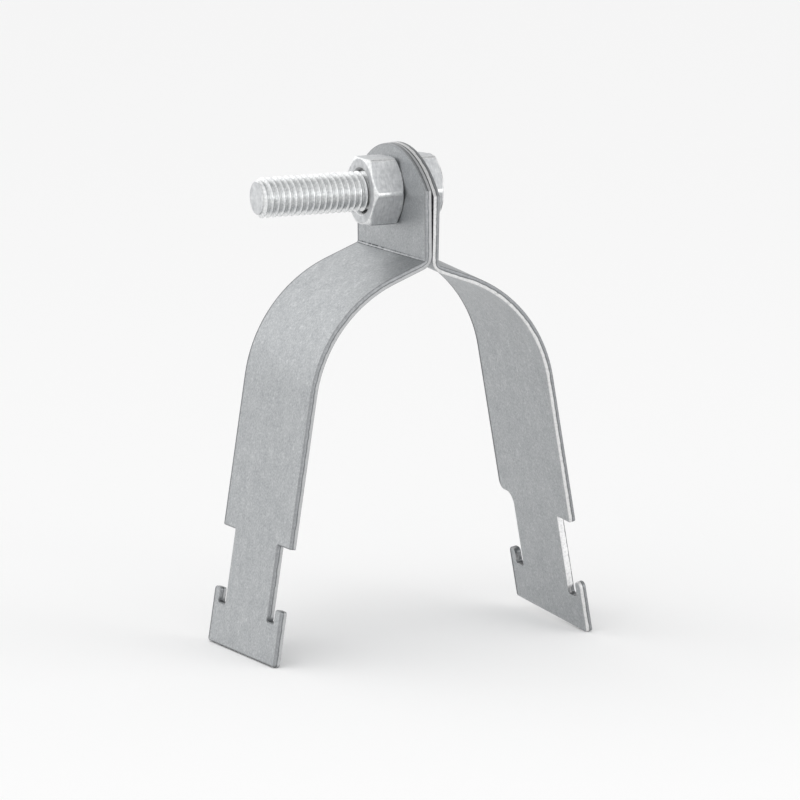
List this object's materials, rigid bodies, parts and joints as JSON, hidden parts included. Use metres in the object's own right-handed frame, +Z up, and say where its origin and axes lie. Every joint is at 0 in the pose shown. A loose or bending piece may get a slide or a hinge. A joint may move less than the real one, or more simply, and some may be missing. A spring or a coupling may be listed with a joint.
{
  "type": "strut pipe clamp",
  "caption": "Pipe clamp for slotted metal strut: mirrored hooked sheet straps held together at their ears by a hex bolt and nut, round a pipe seat.",
  "frame": {"origin": "on the floor below the middle of the bolt between the two ears, at the middle of the nut-side strap's width", "axes": "+Z up along the ears; +X along the bolt towards its head; +Y along the clamped pipe"},
  "size_m": [0.0717, 0.0385, 0.0986],
  "materials": {
    "strap_zinc": "zinc-plated steel sheet, satin grey",
    "fastener_zinc": "zinc-plated steel, bright"
  },
  "bodies": {
    "head_side": {"head_side_strap": "strap_zinc"},
    "bolt": {"hex_bolt": "fastener_zinc"},
    "nut_side": {"nut_side_strap": "strap_zinc"},
    "nut": {"hex_nut": "fastener_zinc"}
  },
  "joints": [
    {"name": "bolt_turn", "type": "hinge", "parent": "head_side", "child": "bolt", "pos_m": [0, 0, 0.08961], "axis": [1, 0, 0], "range_deg": [0, 5760]},
    {"name": "strap_swing", "type": "hinge", "parent": "head_side", "child": "nut_side", "pos_m": [0, 0, 0.08961], "axis": [1, 0, 0], "range_deg": [-180, 180]},
    {"name": "nut_travel", "type": "slide", "parent": "nut_side", "child": "nut", "axis": [-1, 0, 0], "range_m": [0, 0.02]}
  ],
  "couplings": [
    {"joint": "nut_travel", "follows": "bolt_turn", "m_per_rad": 0.00019894}
  ]
}
